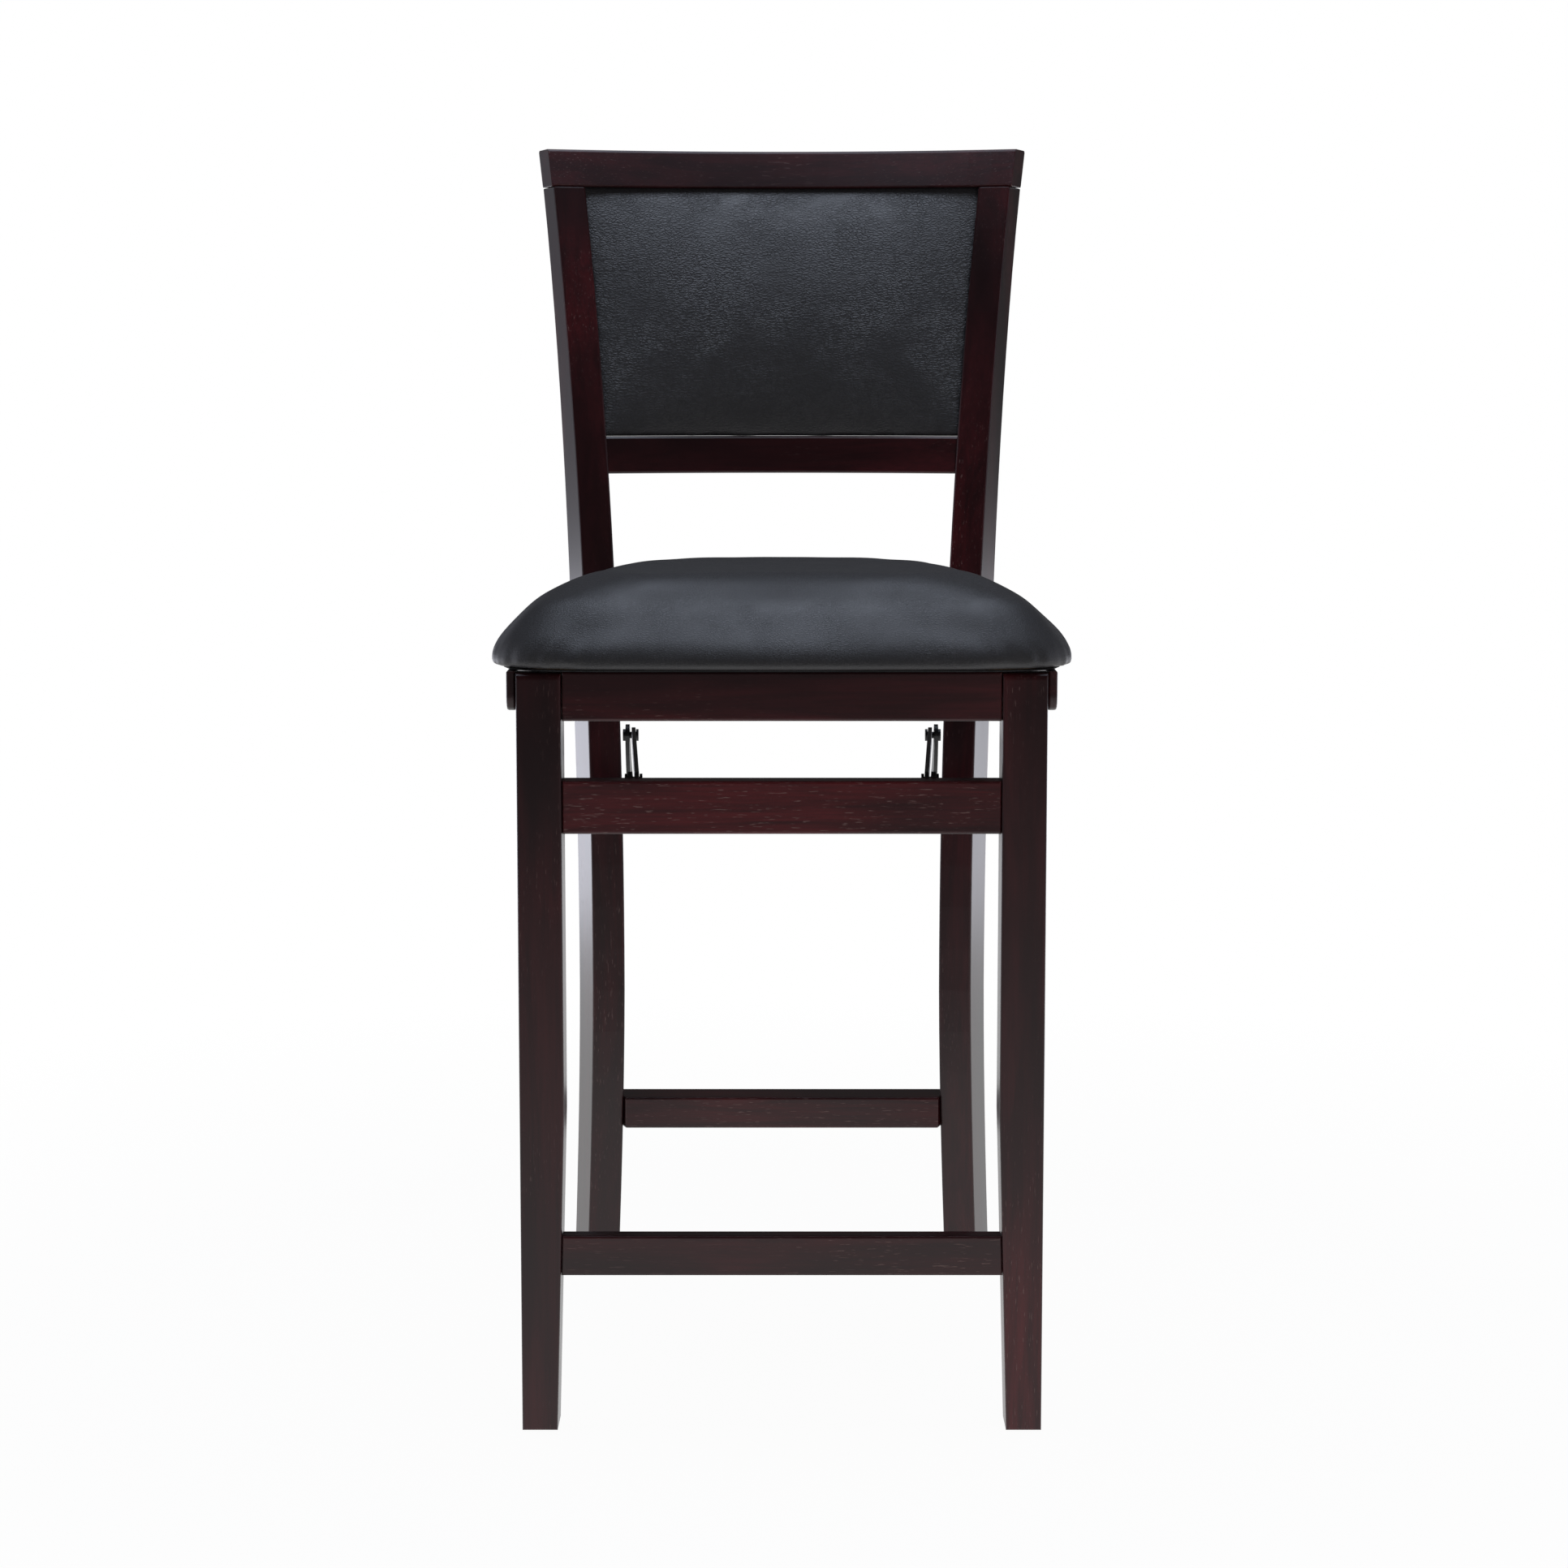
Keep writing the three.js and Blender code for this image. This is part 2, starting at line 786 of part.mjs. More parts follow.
// Fold link, a flat bar that runs inwards from its rear hinge to its front one
function foldLink() {
  const bar = roundedBar(linkHingeDepth, bracketHingeDepth, linkHingeHeight, linkHalfWidth);
  const plate = alongX(bar, -steelThickness / 2, steelThickness / 2, steelEdge);
  const hole = (depth, gap) =>
    pin(linkPinRadius + gap, -cutOverrun, cutOverrun, depth, linkHingeHeight);
  const drilled = cut(
    plate,
    hole(linkHingeDepth, openPivotGap),
    hole(bracketHingeDepth, boreGap),
  );
  const slope = (linkRearPlace - linkFrontPlace) / linkRun;
  const skew = new THREE.Matrix4().makeShear(0, 0, slope, 0, 0, 0);
  drilled.translate(0, -linkHingeDepth, 0);
  drilled.applyMatrix4(skew);
  return drilled.translate(linkFrontPlace, linkHingeDepth, 0);
}

addPair(rearFrame, "rear_leg", rearLeg(), espresso);
add(rearFrame, "crest_rail", crestRail(), espresso);
add(rearFrame, "lower_back_rail", lowerBackRail(), espresso);
add(rearFrame, "back_pad", backPad(), leather);
add(rearFrame, "back_panel", backPanel(), leather);
add(
  rearFrame,
  "middle_rear_rail",
  straightRearRail(middleRailSetback, middleRailThickness, middleRailBottom, middleRailHeight),
  espresso,
);
add(
  rearFrame,
  "rear_stretcher",
  straightRearRail(stretcherSetback, stretcherThickness, stretcherBottom, stretcherHeight),
  espresso,
);
addPair(rearFrame, "hinge_block", hingeBlock(), espresso);
addPair(rearFrame, "pivot_arm", pivotArm(), steel);
addPair(rearFrame, "rear_pivot_bolt", rearPivotBolt(), steel);
addPair(rearFrame, "link_bracket", linkBracket(), steel);
const linkInner = linkRearPlace - steelThickness / 2;
addPair(
  rearFrame,
  "rear_link_rivet",
  rivet(linkInner - runningGap, bracketOuter + seam, bracketHingeDepth, linkHingeHeight),
  steel,
);
addPair(rearFrame, "rear_glide", glide(...rearFootMiddle()), nylon);

add(seat, "seat_cushion", seatCushion(), leather);
add(seat, "seat_board", levelPlate(boardInset, boardBottom, boardThickness), plywood);
add(seat, "dust_cover", levelPlate(dustCoverInset, dustCoverBottom, dustCoverThickness), cloth);
add(seat, "front_apron", apron(), espresso);
addPair(seat, "side_rail", sideRail(), espresso);
addPair(seat, "corner_block", cornerBlock(), plywood);
addPair(seat, "front_pivot_bolt", frontPivotBolt(), steel);

addPair(frontFrame, "front_leg", frontLeg(), espresso);
add(
  frontFrame,
  "middle_front_rail",
  frontRail(midRailBottom, midRailHeight, midRailSetback, midRailThickness),
  espresso,
);
add(
  frontFrame,
  "foot_rail",
  frontRail(footRailBottom, footRailHeight, footRailSetback, footRailThickness),
  espresso,
);
addPair(frontFrame, "rail_lug", railLug(), steel);
const lugLinkInner = linkFrontPlace - steelThickness / 2;
addPair(
  frontFrame,
  "front_link_rivet",
  rivet(lugLinkInner - runningGap, lugOuter + seam, linkHingeDepth, linkHingeHeight),
  steel,
);
addPair(frontFrame, "front_glide", glide(...frontFootMiddle()), nylon);

addPair(links, "fold_link", foldLink(), steel);

// The origin is on the floor below the middle of the whole stool
const box = new THREE.Box3().setFromObject(stool);
stool.position.y = -(box.min.y + box.max.y) / 2;
console.log("depth of the origin behind the front legs:", -stool.position.y);

export default stool;
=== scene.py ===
"""Dresses a folding counter stool: stained wood, leatherette cushions and enamelled steel.

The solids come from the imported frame. The seat cushion and the back pad are new pieces,
filled like bags under pressure, and every other part keeps its solid and gets a finish.
"""

import json
import math

import bpy
from bpy.props import FloatProperty, FloatVectorProperty, IntProperty, PointerProperty
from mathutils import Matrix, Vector


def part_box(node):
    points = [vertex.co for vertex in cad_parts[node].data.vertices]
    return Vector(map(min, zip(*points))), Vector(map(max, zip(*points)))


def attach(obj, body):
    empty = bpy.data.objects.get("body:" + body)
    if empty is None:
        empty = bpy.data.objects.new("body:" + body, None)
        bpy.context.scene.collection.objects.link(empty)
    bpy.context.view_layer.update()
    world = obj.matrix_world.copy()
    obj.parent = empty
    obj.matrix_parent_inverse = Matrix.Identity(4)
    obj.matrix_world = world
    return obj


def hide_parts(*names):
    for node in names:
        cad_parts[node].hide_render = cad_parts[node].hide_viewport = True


bl_info = {
    "name": "Folding counter stool",
    "version": (1, 0, 0),
    "blender": (4, 5, 0),
    "location": "View3D > Sidebar > Stool",
    "description": "Finishes, cushions and studio of a folding counter stool",
    "category": "Object",
}

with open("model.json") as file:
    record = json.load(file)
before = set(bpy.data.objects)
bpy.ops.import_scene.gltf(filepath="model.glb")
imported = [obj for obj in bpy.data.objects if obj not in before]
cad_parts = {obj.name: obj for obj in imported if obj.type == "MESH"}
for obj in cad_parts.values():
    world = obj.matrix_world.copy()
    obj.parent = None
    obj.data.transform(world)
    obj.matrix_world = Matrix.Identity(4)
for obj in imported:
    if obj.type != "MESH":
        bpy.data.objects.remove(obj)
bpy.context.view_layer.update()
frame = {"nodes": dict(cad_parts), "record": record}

ACROSS, ALONG, UP = range(3)

# The wooden parts by the axis along which their fibres run.
CROSSWISE_WOOD = (
    "crest_rail",
    "lower_back_rail",
    "middle_rear_rail",
    "rear_stretcher",
    "middle_front_rail",
    "foot_rail",
    "front_apron",
)
LENGTHWISE_WOOD = ("side_rail", "hinge_block")
UPRIGHT_WOOD = ("rear_leg", "front_leg")

STEEL_PARTS = (
    "pivot_arm",
    "rear_pivot_bolt",
    "link_bracket",
    "rear_link_rivet",
    "front_pivot_bolt",
    "rail_lug",
    "front_link_rivet",
    "fold_link",
)
PLY_PARTS = ("seat_board", "corner_block")
NYLON_PARTS = ("rear_glide", "front_glide")
CLOTH_PARTS = ("dust_cover",)

# Tints of the lamps.
NEUTRAL = (1.0, 1.0, 1.0)
COOL = (0.84, 0.86, 1.0)
SKY = (0.76, 0.84, 1.0)
WARM = (1.0, 0.95, 0.90)


class StoolFinishes(bpy.types.PropertyGroup):
    """Colours and textures of the stool"""

    wood_dark: FloatVectorProperty(
        name="Dark wood", description="Deepest tone of the stained wood",
        subtype="COLOR", default=(0.0100, 0.0020, 0.0028),
    )
    wood_warm: FloatVectorProperty(
        name="Warm wood", description="Main tone of the stained wood",
        subtype="COLOR", default=(0.048, 0.0070, 0.0092),
    )
    wood_red: FloatVectorProperty(
        name="Red wood", description="Reddish patches where the stain is thin",
        subtype="COLOR", default=(0.095, 0.0080, 0.0110),
    )
    # Lighter tone used for the open pores, which are real wear, and for the rubbed edges, which
    # are partly wear and partly a painted highlight along the edges.
    wood_worn_and_edge_highlight: FloatVectorProperty(
        name="Worn edges", description="Tone of the rubbed edges and open pores",
        subtype="COLOR", default=(0.150, 0.095, 0.090),
    )
    # This radius also sets how wide the lighter edges are painted, partly as wear and partly as a
    # painted edge highlight.
    edge_radius: FloatProperty(
        name="Rubbed edge", description="Width of the rubbed edges of the wood",
        unit="LENGTH", default=0.0014,
    )
    leather: FloatVectorProperty(
        name="Leatherette", description="Tone of the leatherette",
        subtype="COLOR", default=(0.0240, 0.0236, 0.0260),
    )
    # Darker tone used for random patches of the leatherette and for painted shade in the wrinkles
    # between the pebbles.
    leather_patch_and_crease_shade: FloatVectorProperty(
        name="Leatherette creases", description="Tone in the creases of the leatherette",
        subtype="COLOR", default=(0.011, 0.011, 0.0125),
    )
    seat_grain: FloatProperty(
        name="Seat grain", description="Size of the pebbles in the seat's leatherette",
        unit="LENGTH", default=0.0015,
    )
    pad_grain: FloatProperty(
        name="Back grain", description="Size of the pebbles in the back pad's leatherette",
        unit="LENGTH", default=0.0024,
    )
    seat_crease: FloatProperty(
        name="Seat wrinkles", description="How strongly the seat's wrinkles show", default=0.7,
    )
    pad_crease: FloatProperty(
        name="Back wrinkles", description="How strongly the back pad's wrinkles show",
        default=2.4,
    )
    steel: FloatVectorProperty(
        name="Enamel", description="Tone of the black enamel on the steel",
        subtype="COLOR", default=(0.006, 0.006, 0.0065),
    )
    steel_dull: FloatVectorProperty(
        name="Dull enamel", description="Tone of the enamel where it is rubbed dull",
        subtype="COLOR", default=(0.018, 0.018, 0.019),
    )
    ply: FloatVectorProperty(
        name="Plywood", description="Tone of the bare plywood",
        subtype="COLOR", default=(0.42, 0.27, 0.14),
    )
    ply_fibre: FloatVectorProperty(
        name="Plywood fibres", description="Tone of the plywood's darker fibres",
        subtype="COLOR", default=(0.25, 0.14, 0.07),
    )
    ply_edge: FloatVectorProperty(
        name="Plywood edge", description="Tone of every other ply at the edge",
        subtype="COLOR", default=(0.18, 0.10, 0.05),
    )
    nylon: FloatVectorProperty(
        name="Nylon", description="Tone of the glides",
        subtype="COLOR", default=(0.12, 0.12, 0.125),
    )
    nylon_scuff: FloatVectorProperty(
        name="Scuffed nylon", description="Tone of the scuffs on the glides",
        subtype="COLOR", default=(0.2, 0.2, 0.2),
    )
    cloth: FloatVectorProperty(
        name="Dust cloth", description="Tone of the cloth under the seat",
        subtype="COLOR", default=(0.008, 0.008, 0.009),
    )
    cloth_thread: FloatVectorProperty(
        name="Dust cloth threads", description="Tone of the raised threads of that cloth",
        subtype="COLOR", default=(0.022, 0.022, 0.024),
    )


class StoolCushions(bpy.types.PropertyGroup):
    """Shapes of the seat cushion and the back pad"""

    seat_voxel: FloatProperty(
        name="Seat grid", description="Size of the seat cushion's mesh before it swells",
        unit="LENGTH", default=0.0055,
    )
    pad_voxel: FloatProperty(
        name="Back grid", description="Size of the back pad's mesh before it swells",
        unit="LENGTH", default=0.0045,
    )
    shrink: FloatProperty(
        name="Starting size", description="Share of its size at which a cushion starts to swell",
        subtype="FACTOR", default=0.992,
    )
    pressure: FloatProperty(
        name="Filling", description="Pressure that swells the cushions", default=4.0,
    )
    swell_frames: IntProperty(
        name="Swelling time", description="Frames for which the cushions swell", default=20,
    )
    seat_half: FloatProperty(
        name="Seat half width", description="From the middle to the side of the seat cushion",
        unit="LENGTH", default=0.2178,
    )
    seat_proud: FloatProperty(
        name="Seat fullness", description="How far the seat cushion stands above its solid",
        unit="LENGTH", default=0.001,
    )
    seat_swell: FloatProperty(
        name="Seat swell", description="Most that a point of the seat cushion may move",
        unit="LENGTH", default=0.005,
    )
    seat_relax: IntProperty(
        name="Seat smoothing", description="Times that the seat cushion's skin is relaxed",
        default=24,
    )
    skirt: FloatProperty(
        name="Skirt", description="Share of the seat cushion's height that is tacked down",
        subtype="FACTOR", default=0.22,
    )
    lean: FloatProperty(
        name="Lean", description="How far the seat cushion's sides lean in above its lower edge",
        unit="LENGTH", default=0.0055,
    )
    crown: FloatProperty(
        name="Crown", description="How far the top of the seat cushion is squared out",
        unit="LENGTH", default=0.0065,
    )
    pucker: FloatProperty(
        name="Puckers", description="Depth of the gathers along the seat cushion's lower edge",
        unit="LENGTH", default=0.0011,
    )
    pad_swell: FloatProperty(
        name="Back swell", description="Most that a point of the back pad may move",
        unit="LENGTH", default=0.004,
    )
    pad_relax: IntProperty(
        name="Back smoothing", description="Times that the back pad's skin is relaxed",
        default=5,
    )
    pad_proud: FloatProperty(
        name="Back fullness", description="How far the back pad stands in front of its solid",
        unit="LENGTH", default=0.0035,
    )
    pad_rise: FloatProperty(
        name="Back rise", description="How far the back pad is pushed up under the crest rail",
        unit="LENGTH", default=0.0015,
    )
    pad_border: FloatProperty(
        name="Back border", description="Height of the tacked strips above and below the pad",
        unit="LENGTH", default=0.012,
    )
    pad_sides: FloatProperty(
        name="Back sides", description="Width of the tacked strips left and right of the pad",
        unit="LENGTH", default=0.06,
    )


class StoolStudio(bpy.types.PropertyGroup):
    """Camera and light"""

    distance: FloatProperty(
        name="Distance", description="From the camera to the middle of the stool",
        unit="LENGTH", default=2.781,
    )
    height: FloatProperty(
        name="Height", description="Of the camera above the floor", unit="LENGTH", default=0.797,
    )
    pitch: FloatProperty(
        name="Tilt", description="Of the camera below level",
        subtype="ANGLE", default=math.radians(6.94),
    )
    focal_pixels: FloatProperty(
        name="Focal length", description="In pixels of the square picture", default=4171.0,
    )
    picture_pixels: FloatProperty(
        name="Picture", description="Side of the square picture in pixels", default=1932.0,
    )
    middle_pixels: FloatProperty(
        name="Middle", description="Column of the picture on which the stool stands",
        default=963.3,
    )
    sensor: FloatProperty(name="Sensor", description="Width of the sensor in mm", default=36.0)
    floor_size: FloatProperty(
        name="Floor", description="Side of the square floor", unit="LENGTH", default=14.0,
    )
    floor_tone: FloatVectorProperty(
        name="Floor tone", description="Tone of the pale floor",
        subtype="COLOR", default=(0.86, 0.86, 0.87),
    )
    world_light: FloatProperty(
        name="Room light", description="Strength of the even light all round", default=0.05,
    )
    key_light: FloatProperty(
        name="Key lamp", description="Power of the lamp above", default=28.0,
    )
    front_light: FloatProperty(
        name="Front lamp", description="Power of the lamp in front that fills the shadows",
        default=24.0,
    )
    left_light: FloatProperty(
        name="Left lamps", description="Brightness of the lamps on the left", default=1.0,
    )
    right_light: FloatProperty(
        name="Right lamps", description="Brightness of the lamps on the right", default=0.55,
    )


class Value:
    """What a shader node gives, able to stand in a sum written in Python."""

    def __init__(self, nodes, link):
        self.nodes = nodes
        self.link = link

    def _sum(self, operation, first, second):
        return self.nodes.node("ShaderNodeMath", {"operation": operation}, {0: first, 1: second})

    def __add__(self, other):
        return self._sum("ADD", self, other)

    def __radd__(self, other):
        return self._sum("ADD", other, self)

    def __sub__(self, other):
        return self._sum("SUBTRACT", self, other)

    def __rsub__(self, other):
        return self._sum("SUBTRACT", other, self)

    def __mul__(self, other):
        return self._sum("MULTIPLY", self, other)

    def __rmul__(self, other):
        return self._sum("MULTIPLY", other, self)


class Nodes:
    """The shader nodes of a material or a world."""

    def __init__(self, owner):
        owner.use_nodes = True
        self.tree = owner.node_tree
        self.tree.nodes.clear()

    def node(self, kind, settings=None, values=None, output=0):
        """Adds a node: its settings come first, then its sockets' values or links."""
        made = self.tree.nodes.new(kind)
        for key, value in (settings or {}).items():
            if key == "stops":
                self._stops(made.color_ramp, value)
            else:
                setattr(made, key, value)
        for key, value in (values or {}).items():
            self.fill(made.inputs[key], value)
        if made.outputs:
            return Value(self, made.outputs[output])
        return made

    def fill(self, socket, value):
        """Links a value to a socket, or sets the socket to a number, vector or colour."""
        if isinstance(value, Value):
            self.tree.links.new(value.link, socket)
        elif hasattr(value, "__len__") and socket.type == "RGBA" and len(value) == 3:
            socket.default_value = (*value, 1.0)
        else:
            socket.default_value = value

    def _stops(self, ramp, stops):
        for element, (place, grey) in zip(ramp.elements, stops):
            element.position = place
            element.color = (grey, grey, grey, 1.0)

    def ray(self, kind):
        """1 for the kind of ray that is named, as Light Path names it, else 0."""
        return self.node("ShaderNodeLightPath", output=f"Is {kind} Ray")


class Finish(Nodes):
    """A new material with a Principled shader and the nodes that feed it."""

    def __init__(self, name):
        self.material = bpy.data.materials.new(name)
        super().__init__(self.material)
        self.surface = self.node("ShaderNodeBsdfPrincipled")
        self.shader = self.surface.link.node
        self.output = self.node("ShaderNodeOutputMaterial", values={"Surface": self.surface})
        self.place = self.node("ShaderNodeTexCoord", output="Object")

    def set(self, **values):
        """Fills sockets of the Principled shader, named with underscores for spaces."""
        for key, value in values.items():
            self.fill(self.shader.inputs[key.replace("_", " ")], value)

    def stretched(self, scale):
        """The object's coordinates, scaled along each axis."""
        return self.node("ShaderNodeMapping", values={"Vector": self.place, "Scale": scale})

    def noise(self, place, scale, detail=2.0, roughness=0.5, distortion=0.0, output=0):
        values = {
            "Vector": place,
            "Scale": scale,
            "Detail": detail,
            "Roughness": roughness,
            "Distortion": distortion,
        }
        return self.node("ShaderNodeTexNoise", values=values, output=output)

    def ramp(self, value, low, high):
        """Rises from 0 at low to 1 at high."""
        stops = ((low, 0.0), (high, 1.0))
        return self.node("ShaderNodeValToRGB", {"stops": stops}, {"Fac": value})

    def mix(self, share, first, second):
        """The first colour, with a share of the second."""
        settings = {"data_type": "RGBA"}
        return self.node("ShaderNodeMix", settings, {0: share, 6: first, 7: second}, output=2)

    def bump(self, height, distance, strength, normal=None):
        values = {"Height": height, "Distance": distance, "Strength": strength}
        if normal is not None:
            values["Normal"] = normal
        return self.node("ShaderNodeBump", values=values)


def wood_finish(name, along):
    """Stained wood whose fibres run along the given axis."""
    tones = bpy.context.scene.stool_finishes
    finish = Finish(name)

    def drawn_out(length):
        """The object's coordinates, drawn out along the fibres."""
        scale = tuple(length if axis == along else 1.0 for axis in range(3))
        return finish.stretched(scale)

    tone = finish.noise(drawn_out(0.22), scale=13.0, detail=3.0, roughness=0.55, distortion=0.4)
    patches = finish.noise(drawn_out(0.35), scale=8.5, distortion=0.6)
    figure = finish.noise(drawn_out(0.08), scale=60.0, detail=3.0, roughness=0.6, distortion=1.2)
    fibres = finish.noise(drawn_out(0.035), scale=520.0, roughness=0.65)
    pores = finish.noise(drawn_out(0.09), scale=1150.0, detail=1.0)
    open_pores = finish.ramp(pores, 0.665, 0.73) * finish.ramp(patches, 0.40, 0.62)

    red_share, figure_share, fibre_share = 0.62, 0.55, 0.40
    stain = finish.mix(finish.ramp(tone, 0.34, 0.68), tones.wood_dark, tones.wood_warm)
    stain = finish.mix(finish.ramp(patches, 0.50, 0.74) * red_share, stain, tones.wood_red)
    stain = finish.mix(finish.ramp(figure, 0.44, 0.62) * figure_share, stain, tones.wood_dark)
    stain = finish.mix(finish.ramp(fibres, 0.40, 0.68) * fibre_share, stain, tones.wood_dark)

    rounded = finish.node("ShaderNodeBevel", {"samples": 6}, {"Radius": tones.edge_radius})
    flat = finish.node("ShaderNodeNewGeometry", output="Normal")
    product = {"operation": "DOT_PRODUCT"}
    alike = finish.node("ShaderNodeVectorMath", product, {0: rounded, 1: flat}, output="Value")
    uneven = finish.noise(finish.place, scale=55.0, detail=3.0, roughness=0.6)
    scuffs = finish.ramp(uneven, 0.40, 0.62)
    # Lighter edges: partly rubbed wear that varies with the scuffs, partly a painted highlight
    # where the rounded edges catch the light.
    rubbed = finish.ramp(1.0 - alike, 0.03, 0.20) * (0.25 + scuffs * 0.55)
    edge_wear_and_highlight_share, pore_share = 0.55, 0.6
    stain = finish.mix(rubbed * edge_wear_and_highlight_share, stain, tones.wood_worn_and_edge_highlight)
    stain = finish.mix(open_pores * pore_share, stain, tones.wood_worn_and_edge_highlight)

    relief = fibres * 0.5 - open_pores
    finish.set(
        Base_Color=stain,
        Roughness=0.25 + tone * 0.11 + open_pores * 0.2,
        Normal=finish.bump(relief, distance=0.00003, strength=0.5, normal=rounded),
        Specular_IOR_Level=0.34,
        Coat_Weight=0.16,
        Coat_Roughness=0.28,
    )
    return finish.material


def leather_finish(name, grain, crease):
    """Leatherette: soft pebbles of the given size with fine wavy wrinkles between them."""
    tones = bpy.context.scene.stool_finishes
    finish = Finish(name)
    bend = (0.006, 0.006, 0.006)
    drift = finish.noise(finish.place, scale=70.0, detail=3.0, output="Color")
    bent = finish.node(
        "ShaderNodeVectorMath",
        {"operation": "MULTIPLY_ADD"},
        {0: drift, 1: bend, 2: finish.stretched((0.62, 0.8, 1.15))},
    )
    pebbles = finish.node(
        "ShaderNodeTexVoronoi",
        {"feature": "DISTANCE_TO_EDGE"},
        {"Vector": bent, "Scale": 1.0 / grain},
        output="Distance",
    )
    fine = finish.noise(bent, scale=900.0)
    depth = finish.ramp(finish.noise(finish.place, scale=24.0), 0.30, 0.70) * 0.6 + 0.4
    patches = finish.noise(finish.place, scale=19.0, detail=3.0, roughness=0.6)
    worn = finish.ramp(patches, 0.40, 0.74)
    wrinkles = (1.0 - finish.ramp(pebbles, 0.0, 0.26)) * depth
    # The wrinkles between the pebbles get painted shade, and the random patches darken the
    # leatherette's own tone.
    patch_and_crease_shade_share = worn * 0.25 + wrinkles * 0.5
    finish.set(
        Base_Color=finish.mix(patch_and_crease_shade_share, tones.leather, tones.leather_patch_and_crease_shade),
        Roughness=0.42 + worn * 0.06 + wrinkles * 0.1,
        Normal=finish.bump(fine * 0.2 - wrinkles * crease, distance=0.0003, strength=0.5),
        Specular_IOR_Level=0.6,
        Sheen_Weight=0.04,
        Sheen_Roughness=0.5,
    )
    return finish.material


def enamel_finish():
    """Black enamel with a fine orange-peel surface, rubbed dull in places."""
    tones = bpy.context.scene.stool_finishes
    finish = Finish("black_enamel")
    peel = finish.noise(finish.place, scale=900.0)
    dull = finish.noise(finish.place, scale=60.0, detail=3.0, roughness=0.6)
    dull_share = finish.ramp(dull, 0.45, 0.75) * 0.5
    finish.set(
        Base_Color=finish.mix(dull_share, tones.steel, tones.steel_dull),
        Roughness=0.3 + dull * 0.16,
        Normal=finish.bump(peel, distance=0.00004, strength=0.4),
        Specular_IOR_Level=0.5,
    )
    return finish.material


def ply_finish():
    """Bare plywood with long fibres and thin plies."""
    tones = bpy.context.scene.stool_finishes
    finish = Finish("bare_plywood")
    long, thin = finish.stretched((0.05, 1.0, 1.0)), finish.stretched((0.01, 0.01, 1.0))
    fibres = finish.noise(long, scale=300.0, detail=4.0, roughness=0.6, distortion=0.5)
    plies = finish.noise(thin, scale=420.0, detail=0.0)
    fibre_share, ply_share = 0.5, 0.35
    colour = finish.mix(finish.ramp(fibres, 0.35, 0.7) * fibre_share, tones.ply, tones.ply_fibre)
    colour = finish.mix(finish.ramp(plies, 0.45, 0.55) * ply_share, colour, tones.ply_edge)
    relief = finish.bump(fibres, distance=0.0001, strength=0.4)
    finish.set(Base_Color=colour, Roughness=0.75, Normal=relief)
    return finish.material


def nylon_finish():
    """Matt grey nylon with scuffs."""
    tones = bpy.context.scene.stool_finishes
    finish = Finish("grey_nylon")
    scuffs = finish.noise(finish.place, scale=240.0, detail=3.0, roughness=0.6)
    scuff_share = finish.ramp(scuffs, 0.5, 0.8) * 0.5
    finish.set(
        Base_Color=finish.mix(scuff_share, tones.nylon, tones.nylon_scuff),
        Roughness=0.5 + scuffs * 0.2,
        Normal=finish.bump(scuffs, distance=0.00005, strength=0.4),
    )
    return finish.material


def cloth_finish():
    """Thin woven cloth, its threads in two directions."""
    tones = bpy.context.scene.stool_finishes
    finish = Finish("dust_cloth")

    def threads(axis):
        return finish.node(
            "ShaderNodeTexWave",
            {"wave_type": "BANDS", "bands_direction": axis, "wave_profile": "SIN"},
            {"Vector": finish.place, "Scale": 290.0, "Distortion": 0.6, "Detail": 1.0},
            output="Fac",
        )

    weave = threads("X") * threads("Y")
    finish.set(
        Base_Color=finish.mix(weave, tones.cloth, tones.cloth_thread),
        Roughness=0.92,
        Normal=finish.bump(weave, distance=0.0002, strength=0.6),
    )
    return finish.material


def parts_named(stems):
    """The CAD nodes whose names start with one of the stems."""
    found = [node for name, node in frame["nodes"].items() if name.startswith(tuple(stems))]
    if not found:
        raise RuntimeError("no part of the frame is named " + ", ".join(stems))
    return found


def paint(parts, material):
    """Gives every part the one material."""
    for part in parts:
        part.data.materials.clear()
        part.data.materials.append(material)


def choose(piece):
    """Selects one piece alone and makes it the active one."""
    bpy.ops.object.select_all(action="DESELECT")
    piece.select_set(True)
    bpy.context.view_layer.objects.active = piece


def corners(node):
    """The lowest and highest corner of a CAD node."""
    return tuple(Vector(corner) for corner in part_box(node))


def body_of_node(name):
    """The body that a CAD node rides on."""
    bodies = frame["record"]["behaviour"]["bodies"]
    return next(body for body, nodes in bodies.items() if name in nodes)


def start_cushion(node, name, voxel):
    """A closed even mesh in the shape of a soft CAD solid, a little smaller than it."""
    piece = bpy.data.objects.new(name, frame["nodes"][node].data.copy())
    bpy.context.scene.collection.objects.link(piece)
    choose(piece)
    shrink = bpy.context.scene.stool_cushions.shrink
    low, high = corners(node)
    bpy.ops.object.mode_set(mode="EDIT")
    bpy.ops.mesh.select_all(action="SELECT")
    bpy.ops.mesh.remove_doubles(threshold=0.00002)
    bpy.ops.transform.resize(value=(shrink,) * 3, center_override=(low + high) / 2)
    bpy.ops.object.mode_set(mode="OBJECT")
    remesh = piece.modifiers.new("Even mesh", "REMESH")
    remesh.mode = "VOXEL"
    remesh.voxel_size = voxel
    bpy.ops.object.modifier_apply(modifier=remesh.name)
    return piece


